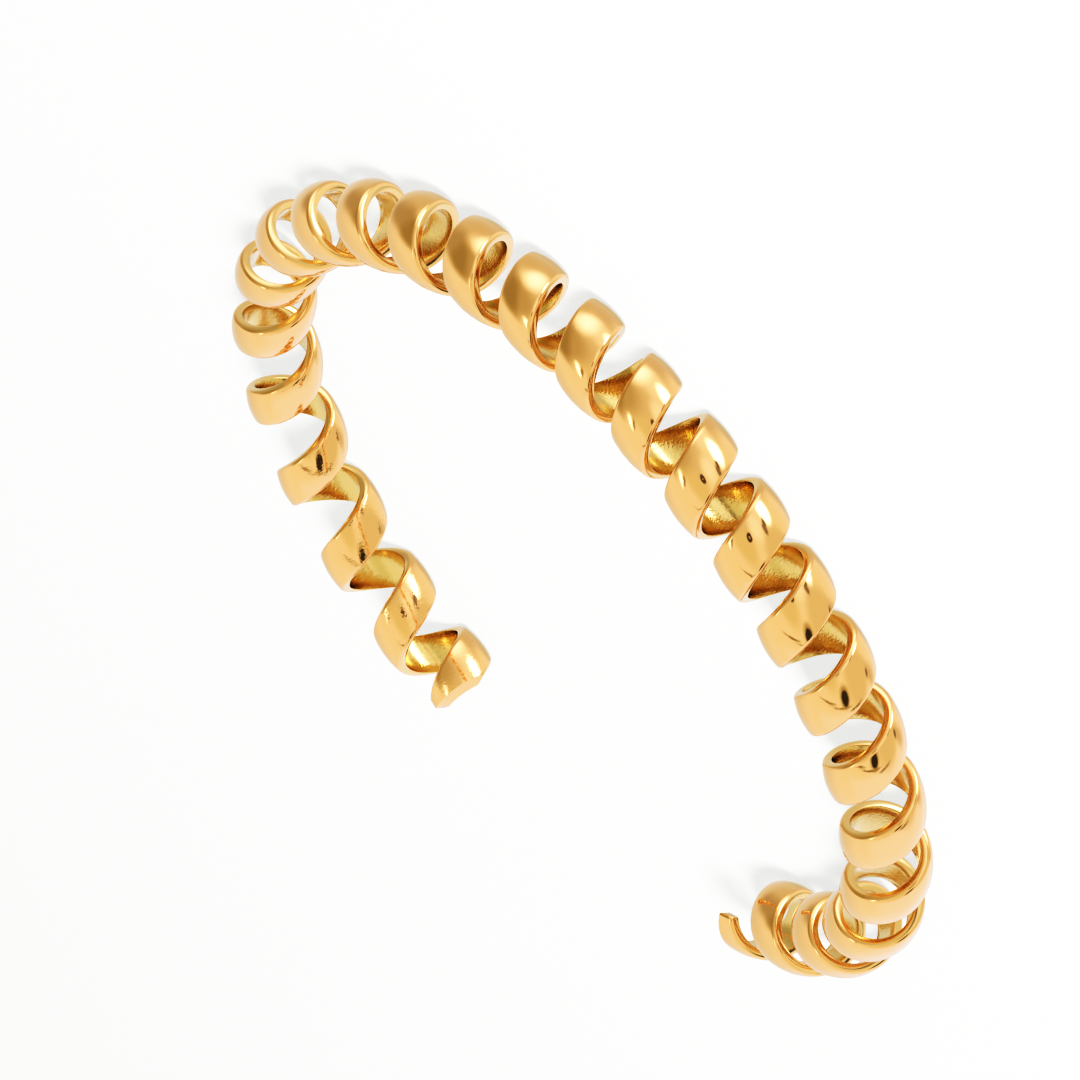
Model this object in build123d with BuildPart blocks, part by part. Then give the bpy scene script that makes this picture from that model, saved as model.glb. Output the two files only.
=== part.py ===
from build123d import *
import math
import os

os.makedirs("parts", exist_ok=True)

# Spiral coil bracelet, an open cuff of one metal strip wound as a right-handed helix.
# Sizes are in millimetres and angles in degrees. The cuff lies on its side: its oval is in
# the XY plane, the gap for the wrist faces -Y and the lowest turns touch Z = 0.
# Angles round the oval run clockwise from -Y, as seen from above.

# Coil
coil_diameter = 6.0
coil_pitch = 6.2
pitch_shares = (1.066, 1.172, 1.21, 0.877, 0.828, 1.035, 0.915)  # evenly spaced, left end to right
first_turn_angle = 100.7  # where the strip starts, from the oval's outer side over the top

# Strip
strip_width = 3.25
crown_thickness = 0.85
rim_thickness = 0.62
rim_bevel = 0.06

# Oval that the middle of the coil follows
oval_half_length = 31.95
oval_half_width = 27.3
left_end_angle = 43.0
right_end_angle = 339.6
oval_lobes = (  # waves round the oval, cosine share and sine share of its radius
    (2, 0.0, -0.002),
    (3, -0.022, -0.008),
    (4, -0.01, 0.0),
    (5, -0.005, 0.0),
)

# Cut ends: the strip narrows on its gap side to a blunt tip
left_tip_width = 0.9
right_tip_width = 1.1
left_cut_length = 1.55
right_cut_length = 1.9

# Sections
stretches = 5
sections_per_stretch = 45
sections_per_cut = 4
line_points = 60

coil_radius = coil_diameter / 2
inner_radius = coil_radius - crown_thickness


def oval_radius(angle):
    """Distance of the coil's middle line from the oval's middle."""
    ellipse = 1 / math.hypot(math.sin(angle) / oval_half_length, math.cos(angle) / oval_half_width)
    lobes = sum(c * math.cos(n * angle) + s * math.sin(n * angle) for n, c, s in oval_lobes)
    return ellipse * (1 + lobes)


def oval_point(angle):
    """Point of the coil's middle line at an angle in radians."""
    radius = oval_radius(angle)
    return Vector(-radius * math.sin(angle), -radius * math.cos(angle), coil_radius)


# The middle line, moved so that the origin is under the middle of the cuff's length and width
angle_step = (right_end_angle - left_end_angle) / line_points
line_angles = [math.radians(left_end_angle + index * angle_step) for index in range(line_points + 1)]
loose_points = [oval_point(angle) for angle in line_angles]
spread_x = [point.X for point in loose_points]
spread_y = [point.Y for point in loose_points]
middle = Vector((min(spread_x) + max(spread_x)) / 2, (min(spread_y) + max(spread_y)) / 2, 0)
middle_line = Spline(*[point - middle for point in loose_points], mode=Mode.PRIVATE)
coil_length = middle_line.length

# Domed outer face, an arc over the strip's full width
dome_height = crown_thickness - rim_thickness
dome_radius = (strip_width / 2) ** 2 / (2 * dome_height) + dome_height / 2


def dome_level(across):
    """Distance of the outer face from the coil's middle line, at a place across the strip."""
    return coil_radius - dome_radius + math.sqrt(dome_radius**2 - across**2)


def pitch_at(distance):
    """Local pitch of the coil, a straight change between the given shares."""
    place = distance / coil_length * (len(pitch_shares) - 1)
    lower = min(int(place), len(pitch_shares) - 2)
    share = pitch_shares[lower] + (place - lower) * (pitch_shares[lower + 1] - pitch_shares[lower])
    return coil_pitch * share


def walk(start, end, turns, steps):
    """Places along the middle line, each with the turns wound from the left end up to it."""
    places = [(start, turns)]
    step = (end - start) / steps
    for index in range(steps):
        turns += step / pitch_at(start + (index + 0.5) * step)
        places.append((start + (index + 1) * step, turns))
    return places


def section_plane(distance, turns):
    """Plane across the strip: its X runs along the coil and its Y points out of the coil."""
    origin = middle_line.position_at(distance, position_mode=PositionMode.LENGTH)
    along = middle_line.tangent_at(distance, position_mode=PositionMode.LENGTH)
    outward = Vector(-along.Y, along.X, 0)
    angle = math.radians(first_turn_angle) + 2 * math.pi * turns
    out = outward * math.cos(angle) + Vector(0, 0, 1) * math.sin(angle)
    return Plane(origin=origin, x_dir=along, z_dir=along.cross(out))


def strip_edges(distance):
    """Lower and upper edge of the strip along the coil, cut back towards each tip."""
    left = max(0.0, 1 - distance / left_cut_length)
    right = max(0.0, 1 - (coil_length - distance) / right_cut_length)
    lower = -strip_width / 2 + (strip_width - left_tip_width) * left
    return lower, strip_width / 2 - (strip_width - right_tip_width) * right


body_start = left_cut_length
body_step = (coil_length - left_cut_length - right_cut_length) / stretches
spans = [(0.0, body_start, sections_per_cut)]
for index in range(stretches):
    spans.append((body_start + index * body_step, body_start + (index + 1) * body_step, sections_per_stretch))
spans.append((coil_length - right_cut_length, coil_length, sections_per_cut))

with BuildPart() as coil_strip:
    wound = 0.0
    for start, end, steps in spans:
        places = walk(start, end, wound, steps)
        wound = places[-1][1]
        for distance, turns in places:
            lower, upper = strip_edges(distance)
            with BuildSketch(section_plane(distance, turns)):
                with BuildLine():
                    Polyline(
                        (lower + rim_bevel, dome_level(lower + rim_bevel)),
                        (lower, dome_level(lower) - rim_bevel),
                        (lower, inner_radius),
                        (upper, inner_radius),
                        (upper, dome_level(upper) - rim_bevel),
                        (upper - rim_bevel, dome_level(upper - rim_bevel)),
                    )
                    ThreePointArc(
                        (upper - rim_bevel, dome_level(upper - rim_bevel)),
                        ((lower + upper) / 2, dome_level((lower + upper) / 2)),
                        (lower + rim_bevel, dome_level(lower + rim_bevel)),
                    )
                make_face()
        loft()

coil_strip.part.label = "coil_strip"
export_step(coil_strip.part, "parts/coil_strip.step")
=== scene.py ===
import math

import bmesh
import bpy
import numpy as np
from mathutils import Matrix, Vector


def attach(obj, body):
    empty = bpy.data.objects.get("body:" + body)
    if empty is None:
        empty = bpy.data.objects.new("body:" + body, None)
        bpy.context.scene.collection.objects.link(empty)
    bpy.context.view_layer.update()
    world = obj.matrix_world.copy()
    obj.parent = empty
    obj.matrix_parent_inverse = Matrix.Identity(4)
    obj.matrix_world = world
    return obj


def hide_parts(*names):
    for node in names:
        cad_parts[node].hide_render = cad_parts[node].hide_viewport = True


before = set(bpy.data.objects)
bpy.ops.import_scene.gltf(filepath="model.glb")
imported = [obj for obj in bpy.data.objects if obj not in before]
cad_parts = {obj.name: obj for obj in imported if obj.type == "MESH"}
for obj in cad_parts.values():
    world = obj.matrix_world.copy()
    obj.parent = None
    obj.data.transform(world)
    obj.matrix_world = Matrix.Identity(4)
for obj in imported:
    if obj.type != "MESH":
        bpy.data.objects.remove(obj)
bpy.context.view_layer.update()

# Spiral coil bracelet: one gold-finished strip wound as a right-handed helix and bent into an open
# oval cuff, which lies on its side. Lengths are in metres and angles in degrees unless a name says
# otherwise. Angles round the oval run clockwise from -Y, as seen from above.
MM = 0.001

# Coil
COIL_RADIUS = 3.0 * MM
COIL_PITCH = 6.2 * MM
PITCH_SHARES = (1.066, 1.172, 1.21, 0.877, 0.828, 1.035, 0.915)  # evenly spaced, left end to right
FIRST_TURN_ANGLE = 100.7

# Strip
STRIP_WIDTH = 3.25 * MM
CROWN_THICKNESS = 0.85 * MM
RIM_THICKNESS = 0.62 * MM
OUTER_ROUNDING = 0.26 * MM
INNER_ROUNDING = 0.07 * MM

# Oval that the middle of the coil follows
OVAL_HALF_LENGTH = 31.95 * MM
OVAL_HALF_WIDTH = 27.3 * MM
LEFT_END_ANGLE = 43.0
RIGHT_END_ANGLE = 339.6
OVAL_LOBES = (  # waves round the oval, cosine share and sine share of its radius
    (2, 0.0, -0.002),
    (3, -0.022, -0.008),
    (4, -0.01, 0.0),
    (5, -0.005, 0.0),
)

# Cut ends: the strip narrows on its gap side to a blunt tip
LEFT_TIP_WIDTH = 0.9 * MM
RIGHT_TIP_WIDTH = 1.1 * MM
LEFT_CUT_LENGTH = 1.55 * MM
RIGHT_CUT_LENGTH = 1.9 * MM
LEFT_LEAN = 27.0
RIGHT_LEAN = 0.0
LEFT_FOOT_SET_BACK = 1.0 * MM
LEFT_TIP_ROUNDING = 0.4 * MM
RIGHT_TIP_ROUNDING = 0.1 * MM
TIP_ROUNDING_SHARES = (0.2, 0.5, 0.8)

# Mesh fineness
LINE_POINTS = 2401
COIL_PARTS = 5
STEPS_PER_PART = 480
DOME_STRIPS = 10
INNER_STRIPS = 4
OUTER_ROUNDING_STEPS = 4
INNER_ROUNDING_STEPS = 2

# Reach of the searches for corners, of the weld between parts and of each cut
NEAR = 0.05 * MM
WELD_DISTANCE = 0.002 * MM
CUT_MERGE_DISTANCE = 0.0001 * MM
END_REACH = 8 * MM

# Finishes, and what tells their faces apart on the flat strip
OUTER_FINISH, INNER_FINISH, RIM_FINISH = 0, 1, 2
INNER_FACE_DEPTH = 0.03 * MM
INNER_FACING = 0.9
RIM_FACING = 0.93

DOME_HEIGHT = CROWN_THICKNESS - RIM_THICKNESS
DOME_RADIUS = (STRIP_WIDTH / 2) ** 2 / (2 * DOME_HEIGHT) + DOME_HEIGHT / 2
INNER_RADIUS = COIL_RADIUS - CROWN_THICKNESS
HALF_WIDTH = STRIP_WIDTH / 2
FLAT_RUN = math.tau * COIL_RADIUS


# The oval that the coil follows


def oval_points(angle):
    """Places on the coil's middle line, for angles in radians, before it is centred."""
    ellipse = 1 / np.hypot(np.sin(angle) / OVAL_HALF_LENGTH, np.cos(angle) / OVAL_HALF_WIDTH)
    lobes = sum(c * np.cos(n * angle) + s * np.sin(n * angle) for n, c, s in OVAL_LOBES)
    radius = ellipse * (1 + lobes)
    return np.stack([-radius * np.sin(angle), -radius * np.cos(angle)], axis=1)


line_points = oval_points(np.radians(np.linspace(LEFT_END_ANGLE, RIGHT_END_ANGLE, LINE_POINTS)))
line_points -= (line_points.min(axis=0) + line_points.max(axis=0)) / 2
line_steps = np.hypot(*np.diff(line_points, axis=0).T)
line_lengths = np.concatenate([[0.0], np.cumsum(line_steps)])
coil_length = line_lengths[-1]
line_along = np.gradient(line_points, line_lengths, axis=0)
line_along /= np.hypot(*line_along.T)[:, None]

share_places = np.linspace(0, coil_length, len(PITCH_SHARES))
line_pitch = COIL_PITCH * np.interp(line_lengths, share_places, PITCH_SHARES)
line_turns = np.concatenate([[0.0], np.cumsum(line_steps * 2 / (line_pitch[1:] + line_pitch[:-1]))])
coil_turns = line_turns[-1]
flat_length = coil_turns * FLAT_RUN
row_run = flat_length / (COIL_PARTS * STEPS_PER_PART)


# The strip: wound straight, laid flat to grind its ends, then wound up again round the oval


def dome_level(across):
    """Distance of the outer face from the coil's middle line, at a place across the strip."""
    return COIL_RADIUS - DOME_RADIUS + math.sqrt(DOME_RADIUS**2 - across**2)


def round_corners(coil, level, rounding, steps):
    """Rounds both corners of the section that lie at a level."""
    corners = [vert for vert in coil.verts
               if abs(vert.co.x) > HALF_WIDTH - NEAR and abs(vert.co.y - level) < NEAR]
    bmesh.ops.bevel(coil, geom=corners, offset=rounding, segments=steps,
                    affect="VERTICES", profile=0.5, material=-1)


def strip_profile(coil):
    """The strip's D-shaped section at the left end, with rounded corners."""
    rim_level = dome_level(HALF_WIDTH)
    places = ((-HALF_WIDTH, INNER_RADIUS), (-HALF_WIDTH, rim_level),
              (HALF_WIDTH, rim_level), (HALF_WIDTH, INNER_RADIUS))
    corners = [coil.verts.new((across, level, 0)) for across, level in places]
    sides = [coil.edges.new((corners[i], corners[(i + 1) % 4])) for i in range(4)]
    bmesh.ops.subdivide_edges(coil, edges=[sides[1]], cuts=DOME_STRIPS - 1)
    bmesh.ops.subdivide_edges(coil, edges=[sides[3]], cuts=INNER_STRIPS - 1)
    for vert in coil.verts:
        if vert.co.y > rim_level - NEAR:
            vert.co.y = dome_level(vert.co.x)
    round_corners(coil, rim_level, OUTER_ROUNDING, OUTER_ROUNDING_STEPS)
    round_corners(coil, INNER_RADIUS, INNER_ROUNDING, INNER_ROUNDING_STEPS)
    bmesh.ops.rotate(coil, verts=coil.verts, cent=(0, 0, 0),
                     matrix=Matrix.Rotation(math.radians(FIRST_TURN_ANGLE), 3, "X"))


def wind(coil):
    """Spins the section through a fifth of the turns, along X, and adds the rest as turned copies."""
    part_turns = coil_turns / COIL_PARTS
    part_step = COIL_PITCH * part_turns
    bmesh.ops.spin(coil, geom=coil.verts[:] + coil.edges[:], cent=(0, 0, 0), axis=(1, 0, 0),
                   dvec=(part_step / STEPS_PER_PART, 0, 0), angle=math.tau * part_turns,
                   steps=STEPS_PER_PART)
    first_part = coil.verts[:] + coil.edges[:] + coil.faces[:]
    for index in range(1, COIL_PARTS):
        copy = bmesh.ops.duplicate(coil, geom=first_part)["geom"]
        verts = [item for item in copy if isinstance(item, bmesh.types.BMVert)]
        bmesh.ops.rotate(coil, verts=verts, cent=(0, 0, 0),
                         matrix=Matrix.Rotation(math.tau * part_turns * index, 3, "X"))
        bmesh.ops.translate(coil, verts=verts, vec=(part_step * index, 0, 0))
    bmesh.ops.remove_doubles(coil, verts=coil.verts, dist=WELD_DISTANCE)
    bmesh.ops.edgeloop_fill(coil, edges=[edge for edge in coil.edges if edge.is_boundary])


def lay_flat(coil):
    """Unwinds the coil into a straight flat strip: X across it, Y along it and Z its level."""
    places = np.array([vert.co for vert in coil.verts])
    level = np.hypot(places[:, 1], places[:, 2])
    part_turn = (np.arctan2(places[:, 2], places[:, 1]) - math.radians(FIRST_TURN_ANGLE)) / math.tau
    turn = part_turn + np.round(places[:, 0] / COIL_PITCH - part_turn)
    across = places[:, 0] - COIL_PITCH * turn
    for vert, place in zip(coil.verts, np.stack([across, turn * FLAT_RUN, level], axis=1)):
        vert.co = place


def slice_off(coil, place, normal, crisp=False):
    """Cuts one end of the flat strip by a plane, clears what lies beyond it and closes the cut with
    a face split along the rows of the strip, so that it bends with them."""
    faces = [face for face in coil.faces if abs(face.calc_center_median().y - place.y) < END_REACH]
    geom = list(dict.fromkeys(item for face in faces for item in (*face.verts, *face.edges, face)))
    bmesh.ops.bisect_plane(coil, geom=geom, plane_co=place, plane_no=normal, clear_outer=True,
                           dist=CUT_MERGE_DISTANCE)
    cut = [edge for edge in coil.edges if edge.is_boundary]
    for edge in cut:
        edge.smooth = not crisp
    ground = bmesh.ops.edgeloop_fill(coil, edges=cut)["faces"]
    pieces = ground + cut + list(dict.fromkeys(vert for edge in cut for vert in edge.verts))
    rows = [vert.co.y / row_run for edge in cut for vert in edge.verts]
    for row in range(math.ceil(min(rows)), math.floor(max(rows)) + 1):
        pieces = bmesh.ops.bisect_plane(coil, geom=pieces, plane_co=(0, row * row_run, 0),
                                        plane_no=(0, 1, 0), dist=CUT_MERGE_DISTANCE)["geom"]


def cut_end(coil, end, tip_across, foot, lean, rounding):
    """Grinds an end: a flat cut from its tip to the foot of the cut on the gap-side edge, leaning
    outward, then small square cuts that round both corners of the tip."""
    tip = Vector((tip_across, end, COIL_RADIUS))
    run = foot - tip
    square = Vector((abs(run.y) * math.copysign(1, run.x), -abs(run.x) * math.copysign(1, run.y), 0))
    square.normalize()
    slice_off(coil, tip, square + Vector((0, 0, math.tan(lean))), crisp=True)
    back = Vector((0, -math.copysign(1, run.y), 0))
    inner_corner = tip + Vector((CROWN_THICKNESS * math.tan(lean) / square.x, 0, 0))
    far_corner = Vector((-math.copysign(HALF_WIDTH, run.x), end, COIL_RADIUS))
    far_side = Vector((-math.copysign(1, run.x), 0, 0))
    for corner, side in ((inner_corner, square), (far_corner, far_side)):
        middle = corner - (back + side) * (rounding / (1 + back.dot(side)))
        for share in TIP_ROUNDING_SHARES:
            facing = back.lerp(side, share).normalized()
            slice_off(coil, middle + facing * rounding, facing)


def cut_ends(coil):
    """Grinds the left and the right end of the flat strip."""
    left_turns = float(np.interp(LEFT_CUT_LENGTH, line_lengths, line_turns))
    right_turns = float(np.interp(coil_length - RIGHT_CUT_LENGTH, line_lengths, line_turns))
    left_foot = Vector((-HALF_WIDTH, left_turns * FLAT_RUN + LEFT_FOOT_SET_BACK, COIL_RADIUS))
    right_foot = Vector((HALF_WIDTH, right_turns * FLAT_RUN, COIL_RADIUS))
    cut_end(coil, 0.0, HALF_WIDTH - LEFT_TIP_WIDTH, left_foot, math.radians(LEFT_LEAN), LEFT_TIP_ROUNDING)
    cut_end(coil, flat_length, RIGHT_TIP_WIDTH - HALF_WIDTH, right_foot, math.radians(RIGHT_LEAN),
            RIGHT_TIP_ROUNDING)


def mark_faces(coil):
    """Gives the inner face and the rims of the flat strip their own finishes; the inner face's colour is
    painted shade.
    """
    coil.normal_update()
    for face in coil.faces:
        face.smooth = True
        face.material_index = OUTER_FINISH
        deep = face.calc_center_median().z < INNER_RADIUS + INNER_FACE_DEPTH
        if deep and abs(face.normal.z) > INNER_FACING:
            face.material_index = INNER_FINISH
        elif abs(face.normal.x) > RIM_FACING:
            face.material_index = RIM_FINISH


def wind_round_oval(coil):
    """Winds the flat strip up again, round the oval and with each turn's own pitch."""
    across, along_strip, level = np.array([vert.co for vert in coil.verts]).T
    turn = along_strip / FLAT_RUN
    angle = math.radians(FIRST_TURN_ANGLE) + turn * math.tau
    distance = np.interp(turn, line_turns, line_lengths)
    centre = np.stack([np.interp(distance, line_lengths, line_points[:, axis]) for axis in (0, 1)])
    along = np.stack([np.interp(distance, line_lengths, line_along[:, axis]) for axis in (0, 1)])
    x = centre[0] + across * along[0] - level * np.cos(angle) * along[1]
    y = centre[1] + across * along[1] + level * np.cos(angle) * along[0]
    z = COIL_RADIUS + level * np.sin(angle)
    for vert, place in zip(coil.verts, np.stack([x, y, z], axis=1)):
        vert.co = place


def coil_strip_mesh():
    """The whole bracelet, with its faces turned outward."""
    coil = bmesh.new()
    strip_profile(coil)
    wind(coil)
    lay_flat(coil)
    cut_ends(coil)
    mark_faces(coil)
    wind_round_oval(coil)
    bmesh.ops.recalc_face_normals(coil, faces=coil.faces)
    if coil.calc_volume(signed=True) < 0:
        bmesh.ops.reverse_faces(coil, faces=coil.faces)
    return coil


# Materials

NOISE_SPAN = (0.3, 0.7)  # the part of a noise's range that most of it fills


def linear(hex_colour):
    """An sRGB hex colour as linear light, with alpha."""
    parts = [int(hex_colour[i:i + 2], 16) / 255 for i in (1, 3, 5)]
    return [c / 12.92 if c <= 0.04045 else ((c + 0.055) / 1.055) ** 2.4 for c in parts] + [1.0]


def add_node(tree, kind, settings=(), in_order=(), **by_name):
    """Adds a node with its own settings. Values and links go to its live inputs, in their order or
    by name, where an underscore stands for a space."""
    node = tree.nodes.new(kind)
    for key, value in dict(settings).items():
        setattr(node, key, value)
    live = [socket for socket in node.inputs if socket.enabled]
    pairs = list(zip(live, in_order))
    for name, value in by_name.items():
        pairs.append((next(socket for socket in live if socket.name == name.replace("_", " ")), value))
    for socket, value in pairs:
        if isinstance(value, bpy.types.NodeSocket):
            tree.links.new(value, socket)
        else:
            socket.default_value = value
    return node


def new_material(name):
    material = bpy.data.materials.new(name)
    material.use_nodes = True
    material.node_tree.nodes.clear()
    return material, material.node_tree


def polished_gold_plating():
    # Gold-plated steel that was buffed on a soft wheel: a warm mirror with shallow waves from the
    # wheel, so what it mirrors bends a little, and with soft haze in places.
    # The plating's grain is taken as 0.05 mm, too fine to show, and is drawn coarser, at 0.18 mm. It
    # is deepest near the left end, where it shows most.
    wave_size, wave_depth = 1.3 * MM, 0.014 * MM
    grain_size, deep_grain, shallow_grain = 0.18 * MM, 0.02 * MM, 0.003 * MM
    deep_until, shallow_from = 14 * MM, 34 * MM
    left_end = (*line_points[0], COIL_RADIUS)

    material, tree = new_material("polished_gold_plating")
    place = add_node(tree, "ShaderNodeTexCoord").outputs["Object"]
    buffing = add_node(tree, "ShaderNodeTexNoise", Vector=place, Scale=1 / wave_size, Detail=2.0)
    haze = add_node(tree, "ShaderNodeMapRange", Value=buffing.outputs["Fac"],
                    From_Min=NOISE_SPAN[0], From_Max=NOISE_SPAN[1], To_Min=0.045, To_Max=0.09)
    grain = add_node(tree, "ShaderNodeTexNoise", Vector=place, Scale=1 / grain_size, Detail=1.0)
    from_left_end = add_node(tree, "ShaderNodeVectorMath", {"operation": "DISTANCE"}, (place, left_end))
    grain_depth = add_node(tree, "ShaderNodeMapRange", Value=from_left_end.outputs["Value"],
                           From_Min=deep_until, From_Max=shallow_from,
                           To_Min=deep_grain, To_Max=shallow_grain)
    grain_bump = add_node(tree, "ShaderNodeBump", Height=grain.outputs["Fac"], Strength=0.6,
                          Distance=grain_depth.outputs["Result"])
    ripple = add_node(tree, "ShaderNodeBump", Height=buffing.outputs["Fac"], Strength=0.6,
                      Distance=wave_depth, Normal=grain_bump.outputs["Normal"])
    shader = add_node(tree, "ShaderNodeBsdfPrincipled", Base_Color=linear("#F9CD97"), Metallic=1.0,
                      Roughness=haze.outputs["Result"], Normal=ripple.outputs["Normal"],
                      Coat_Weight=0.65, Coat_Roughness=0.04)
    add_node(tree, "ShaderNodeOutputMaterial", Surface=shader.outputs["BSDF"])
    return material


def rolled_gold_with_painted_shade():
    # Gold-plated steel as it left the rolls, which no wheel reaches inside the coil, so it breaks its
    # reflections into fine sparkles. Its colour is painted shade: a little darker and less red than the
    # outer face's, for the shade inside the coil.
    # The rolled grain is taken as 0.05 mm, too fine to show, and is drawn coarser, at 0.17 mm.
    grain_size, grain_depth = 0.17 * MM, 0.018 * MM

    material, tree = new_material("rolled_gold_with_painted_shade")
    place = add_node(tree, "ShaderNodeTexCoord").outputs["Object"]
    grain = add_node(tree, "ShaderNodeTexNoise", Vector=place, Scale=1 / grain_size, Detail=2.0,
                     Roughness=0.6)
    grain_bump = add_node(tree, "ShaderNodeBump", Height=grain.outputs["Fac"], Strength=1.0,
                          Distance=grain_depth)
    # The base colour is painted shade: a little darker and less red than the outer face's gold.
    shader = add_node(tree, "ShaderNodeBsdfPrincipled", Base_Color=linear("#EACE92"), Metallic=1.0,
                      Roughness=0.15, Normal=grain_bump.outputs["Normal"],
                      Coat_Weight=1.0, Coat_Roughness=0.08)
    add_node(tree, "ShaderNodeOutputMaterial", Surface=shader.outputs["BSDF"])
    return material


def drawn_gold_rim():
    # Gold-plated steel on the strip's narrow sides, which were drawn through a die: a softer shine
    # than the outer face, with patches that differ a little in haze.
    # The marks of the die are taken as 0.1 mm, too fine to show, and are drawn coarser, at 0.4 mm.
    mark_size = 0.4 * MM

    material, tree = new_material("drawn_gold_rim")
    place = add_node(tree, "ShaderNodeTexCoord").outputs["Object"]
    drawing = add_node(tree, "ShaderNodeTexNoise", Vector=place, Scale=1 / mark_size, Detail=3.0)
    haze = add_node(tree, "ShaderNodeMapRange", Value=drawing.outputs["Fac"],
                    From_Min=NOISE_SPAN[0], From_Max=NOISE_SPAN[1], To_Min=0.1, To_Max=0.2)
    shader = add_node(tree, "ShaderNodeBsdfPrincipled", Base_Color=linear("#F4D29D"), Metallic=1.0,
                      Roughness=haze.outputs["Result"], Coat_Weight=0.6, Coat_Roughness=0.05)
    add_node(tree, "ShaderNodeOutputMaterial", Surface=shader.outputs["BSDF"])
    return material


def matte_white_card():
    # Uncoated white card: an even, shineless pale ground.
    material, tree = new_material("matte_white_card")
    shader = add_node(tree, "ShaderNodeBsdfPrincipled", Base_Color=linear("#F6F5F2"), Roughness=0.9)
    add_node(tree, "ShaderNodeOutputMaterial", Surface=shader.outputs["BSDF"])
    return material


# The piece


def add_object(name, mesh, *materials):
    """Makes a scene object of a bmesh, with its materials in the order of their finishes."""
    data = bpy.data.meshes.new(name)
    mesh.to_mesh(data)
    mesh.free()
    for material in materials:
        data.materials.append(material)
    item = bpy.data.objects.new(name, data)
    bpy.context.scene.collection.objects.link(item)
    return item


strip = add_object("coil_strip_polished", coil_strip_mesh(),
                   polished_gold_plating(), rolled_gold_with_painted_shade(), drawn_gold_rim())
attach(strip, "root")
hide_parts("coil_strip")
strip.visible_diffuse = False


# Floor, lamp and camera

FLOOR_HALF_SIZE = 3.0

KEY_AZIMUTH, KEY_ELEVATION = 116, 28
KEY_DISTANCE = 0.9
KEY_SIZE = 0.16
KEY_WATTS = 7.5

CAMERA_AIM = Vector((-1.45, 1.52, 3.27)) * MM
CAMERA_DISTANCE = 447.0 * MM
CAMERA_AZIMUTH = 130.84
CAMERA_ELEVATION = 20.96
CAMERA_ROLL = -126.15
CAMERA_LENS_MM = 222.0
CAMERA_SENSOR_MM = 36.0
CAMERA_NEAR, CAMERA_FAR = 0.02, 20.0


def toward(azimuth, elevation):
    """Unit vector to a place round the part: azimuth 0 is at -Y and 90 at +X."""
    azimuth, elevation = math.radians(azimuth), math.radians(elevation)
    return Vector((math.sin(azimuth) * math.cos(elevation), -math.cos(azimuth) * math.cos(elevation),
                   math.sin(elevation)))


def studio_floor():
    grid = bmesh.new()
    bmesh.ops.create_grid(grid, x_segments=1, y_segments=1, size=FLOOR_HALF_SIZE)
    floor = add_object("studio_floor", grid, matte_white_card())
    floor.visible_glossy = False
    floor.visible_shadow = False


def key_softbox():
    light_data = bpy.data.lights.new("key_softbox", "AREA")
    light_data.shape = "RECTANGLE"
    light_data.size = KEY_SIZE
    light_data.size_y = KEY_SIZE
    light_data.energy = KEY_WATTS
    light = bpy.data.objects.new("key_softbox", light_data)
    light.location = toward(KEY_AZIMUTH, KEY_ELEVATION) * KEY_DISTANCE
    light.rotation_euler = light.location.to_track_quat("Z", "Y").to_euler()
    light.visible_glossy = False
    bpy.context.scene.collection.objects.link(light)


def photo_camera():
    camera_data = bpy.data.cameras.new("photo_camera")
    camera_data.lens = CAMERA_LENS_MM
    camera_data.sensor_width = CAMERA_SENSOR_MM
    camera_data.clip_start = CAMERA_NEAR
    camera_data.clip_end = CAMERA_FAR
    camera = bpy.data.objects.new("photo_camera", camera_data)
    bpy.context.scene.collection.objects.link(camera)
    back = toward(CAMERA_AZIMUTH, CAMERA_ELEVATION)
    camera.matrix_world = (Matrix.Translation(CAMERA_AIM + back * CAMERA_DISTANCE)
                           @ back.to_track_quat("Z", "Y").to_matrix().to_4x4()
                           @ Matrix.Rotation(math.radians(CAMERA_ROLL), 4, "Z"))
    bpy.context.scene.camera = camera


studio_floor()
photo_camera()
key_softbox()


# Light tent and print tones

COMBINED_CURVE = 3  # the curve for all colours, after those of red, green and blue
WHITE_TONE = 1.4  # the amount of light that prints as white, and that the backdrop gives
PRINT_TONES = (  # scene light and print tone: the firm contrast of a product photograph
    (0.125, 0.019),
    (0.19, 0.045),
    (0.29, 0.113),
    (0.44, 0.274),
    (0.66, 0.558),
    (0.84, 0.75),
    (1.0, 0.896),
    (1.12, 0.956),
    (1.28, 0.99),
)

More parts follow.
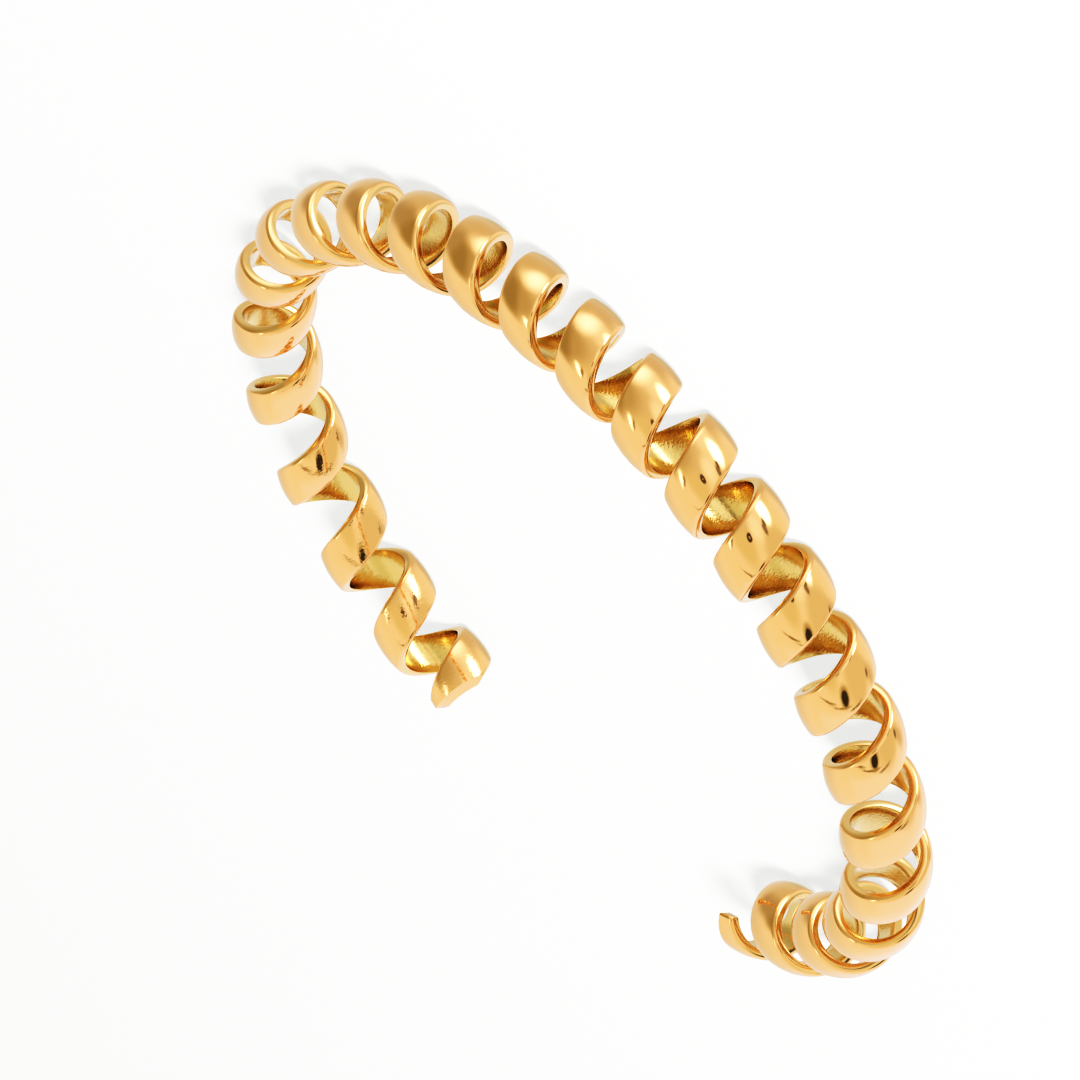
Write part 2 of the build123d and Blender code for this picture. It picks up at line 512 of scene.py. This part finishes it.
# The tent hangs all round the cuff and under it, and the floor is kept out of the gloss, so the coil
# mirrors the tent on every side. Each soft patch has the azimuth and elevation of its middle, its
# half width and half height in degrees, the softness of its edge as a share of them, its
# brightness, and the share of blue in its light.
TENT_LIGHT = (1.12, 1.03)
GREEN_LIFT = 0.25  # power of the blue share by which a cool light's green rises with it
TENT_PATCHES = (
    (15, 0, 44, 62, 0.2, 1.15, 1.24),       # cool white cloth
    (310, 46, 52, 28, 0.5, 1.12, 1.07),     # white cloth, high
    (292, -16, 40, 52, 0.5, 0.92, 0.98),
    (298, -52, 24, 18, 0.6, 0.76, 0.85),
    (86, -27, 38, 33, 0.35, 0.94, 0.94),    # warm card, low
    (140, 40, 50, 22, 0.4, 0.97, 0.9),
    (160, 12, 22, 24, 0.6, 0.93, 0.98),
    (206, 30, 40, 30, 0.5, 0.7, 0.84),      # dimmer open side
    (224, 26, 21, 32, 0.5, 0.54, 0.72),
    (242, -4, 22, 26, 0.4, 0.62, 0.86),
    (240, -40, 34, 24, 0.6, 0.85, 0.94),
    (240, -64, 70, 14, 0.6, 0.86, 1.0),
    (40, -57, 34, 7, 0.8, 0.85, 0.95),
    (58, -53, 6, 4, 0.5, 0.4, 0.9),
    (136, -2, 16, 15, 0.6, 1.28, 1.1),      # soft glow
    (160, -34, 26, 20, 0.7, 1.24, 1.08),
    (192, -24, 14, 20, 0.8, 1.85, 1.16),
    (144, -42, 18, 12, 0.6, 4.2, 1.15),     # bright white card
    (124, -22, 8, 5, 0.4, 0.45, 0.95),      # dark edge of that card
    (131, -28, 6, 3.5, 0.5, 0.35, 0.95),
    (57, -6, 1.6, 14, 0.5, 0.45, 0.7),      # dark seams of the cloth
    (63, 27, 1.6, 22, 0.5, 0.45, 0.7),
    (69, 60, 3, 18, 0.5, 0.45, 0.7),
    (78, 17, 16, 11, 0.4, 0.6, 0.72),       # dark opening
    (76, 17, 11, 8, 0.15, 0.15, 0.9),
    (188, 66, 9, 9, 0.7, 2.6, 1.1),         # bright strip, and its dark end
    (172, 66, 6, 8, 0.6, 0.55, 0.8),
    (133, 24, 6.5, 6, 0.2, 0.2, 0.8),       # small round opening
    (133, 24, 2, 1.8, 0.4, 0.7, 0.9),
)


def light_colour(brightness, blue):
    """Neutral or warm light, or a cool light whose green is raised a little with its blue."""
    return (brightness, brightness * max(1.0, blue) ** GREEN_LIFT, brightness * blue, 1.0)


def tent_colour(tree):
    """The tent's patches, laid one over the other by the direction that a ray comes from."""
    direction = add_node(tree, "ShaderNodeTexCoord").outputs["Generated"]
    axes = add_node(tree, "ShaderNodeSeparateXYZ", Vector=direction)
    round_angle = add_node(tree, "ShaderNodeMath", {"operation": "ARCTAN2"},
                           (axes.outputs["X"], axes.outputs["Y"]))
    height_angle = add_node(tree, "ShaderNodeMath", {"operation": "ARCSINE"}, (axes.outputs["Z"],))
    angles = add_node(tree, "ShaderNodeCombineXYZ", X=round_angle.outputs["Value"],
                      Y=height_angle.outputs["Value"])
    half_turn = (math.pi, math.pi, math.pi)
    half_turn_back = (-math.pi, -math.pi, -math.pi)
    colour = light_colour(*TENT_LIGHT)
    for azimuth, elevation, half_width, half_height, softness, brightness, blue in TENT_PATCHES:
        middle = (math.radians(180 - azimuth), math.radians(elevation), 0.0)
        size = (1 / math.radians(half_width), 1 / math.radians(half_height), 0.0)
        shifted = add_node(tree, "ShaderNodeVectorMath", {"operation": "SUBTRACT"},
                           (angles.outputs["Vector"], middle))
        wrapped = add_node(tree, "ShaderNodeVectorMath", {"operation": "WRAP"},
                           (shifted.outputs["Vector"], half_turn, half_turn_back))
        scaled = add_node(tree, "ShaderNodeVectorMath", {"operation": "MULTIPLY"},
                          (wrapped.outputs["Vector"], size))
        distance = add_node(tree, "ShaderNodeVectorMath", {"operation": "LENGTH"},
                            (scaled.outputs["Vector"],))
        mask = add_node(tree, "ShaderNodeMapRange", {"interpolation_type": "SMOOTHSTEP"},
                        Value=distance.outputs["Value"], From_Min=1 + softness, From_Max=1 - softness)
        mix = add_node(tree, "ShaderNodeMix", {"data_type": "RGBA"}, Factor=mask.outputs["Result"],
                       A=colour, B=light_colour(brightness, blue))
        colour = next(socket for socket in mix.outputs if socket.type == "RGBA")
    return colour


def light_tent():
    """The world: the tent for light and gloss, and an even white backdrop for the camera."""
    world = bpy.data.worlds.new("studio")
    bpy.context.scene.world = world
    world.use_nodes = True
    tree = world.node_tree
    tree.nodes.clear()
    tent = add_node(tree, "ShaderNodeBackground", Color=tent_colour(tree), Strength=1.0)
    backdrop = add_node(tree, "ShaderNodeBackground", Color=linear("#FFFFFF"), Strength=WHITE_TONE)
    ray = add_node(tree, "ShaderNodeLightPath")
    seen = add_node(tree, "ShaderNodeMixShader", (), (
        ray.outputs["Is Camera Ray"], tent.outputs["Background"], backdrop.outputs["Background"]))
    add_node(tree, "ShaderNodeOutputWorld", Surface=seen.outputs["Shader"])


def print_tones():
    """Develops the picture by one tone curve for all three colours."""
    view = bpy.context.scene.view_settings
    view.view_transform = "Standard"
    view.use_curve_mapping = True
    view.curve_mapping.white_level = (WHITE_TONE, WHITE_TONE, WHITE_TONE)
    curve = view.curve_mapping.curves[COMBINED_CURVE]
    for amount, tone in PRINT_TONES:
        curve.points.new(amount / WHITE_TONE, tone)
    view.curve_mapping.update()


light_tent()
print_tones()
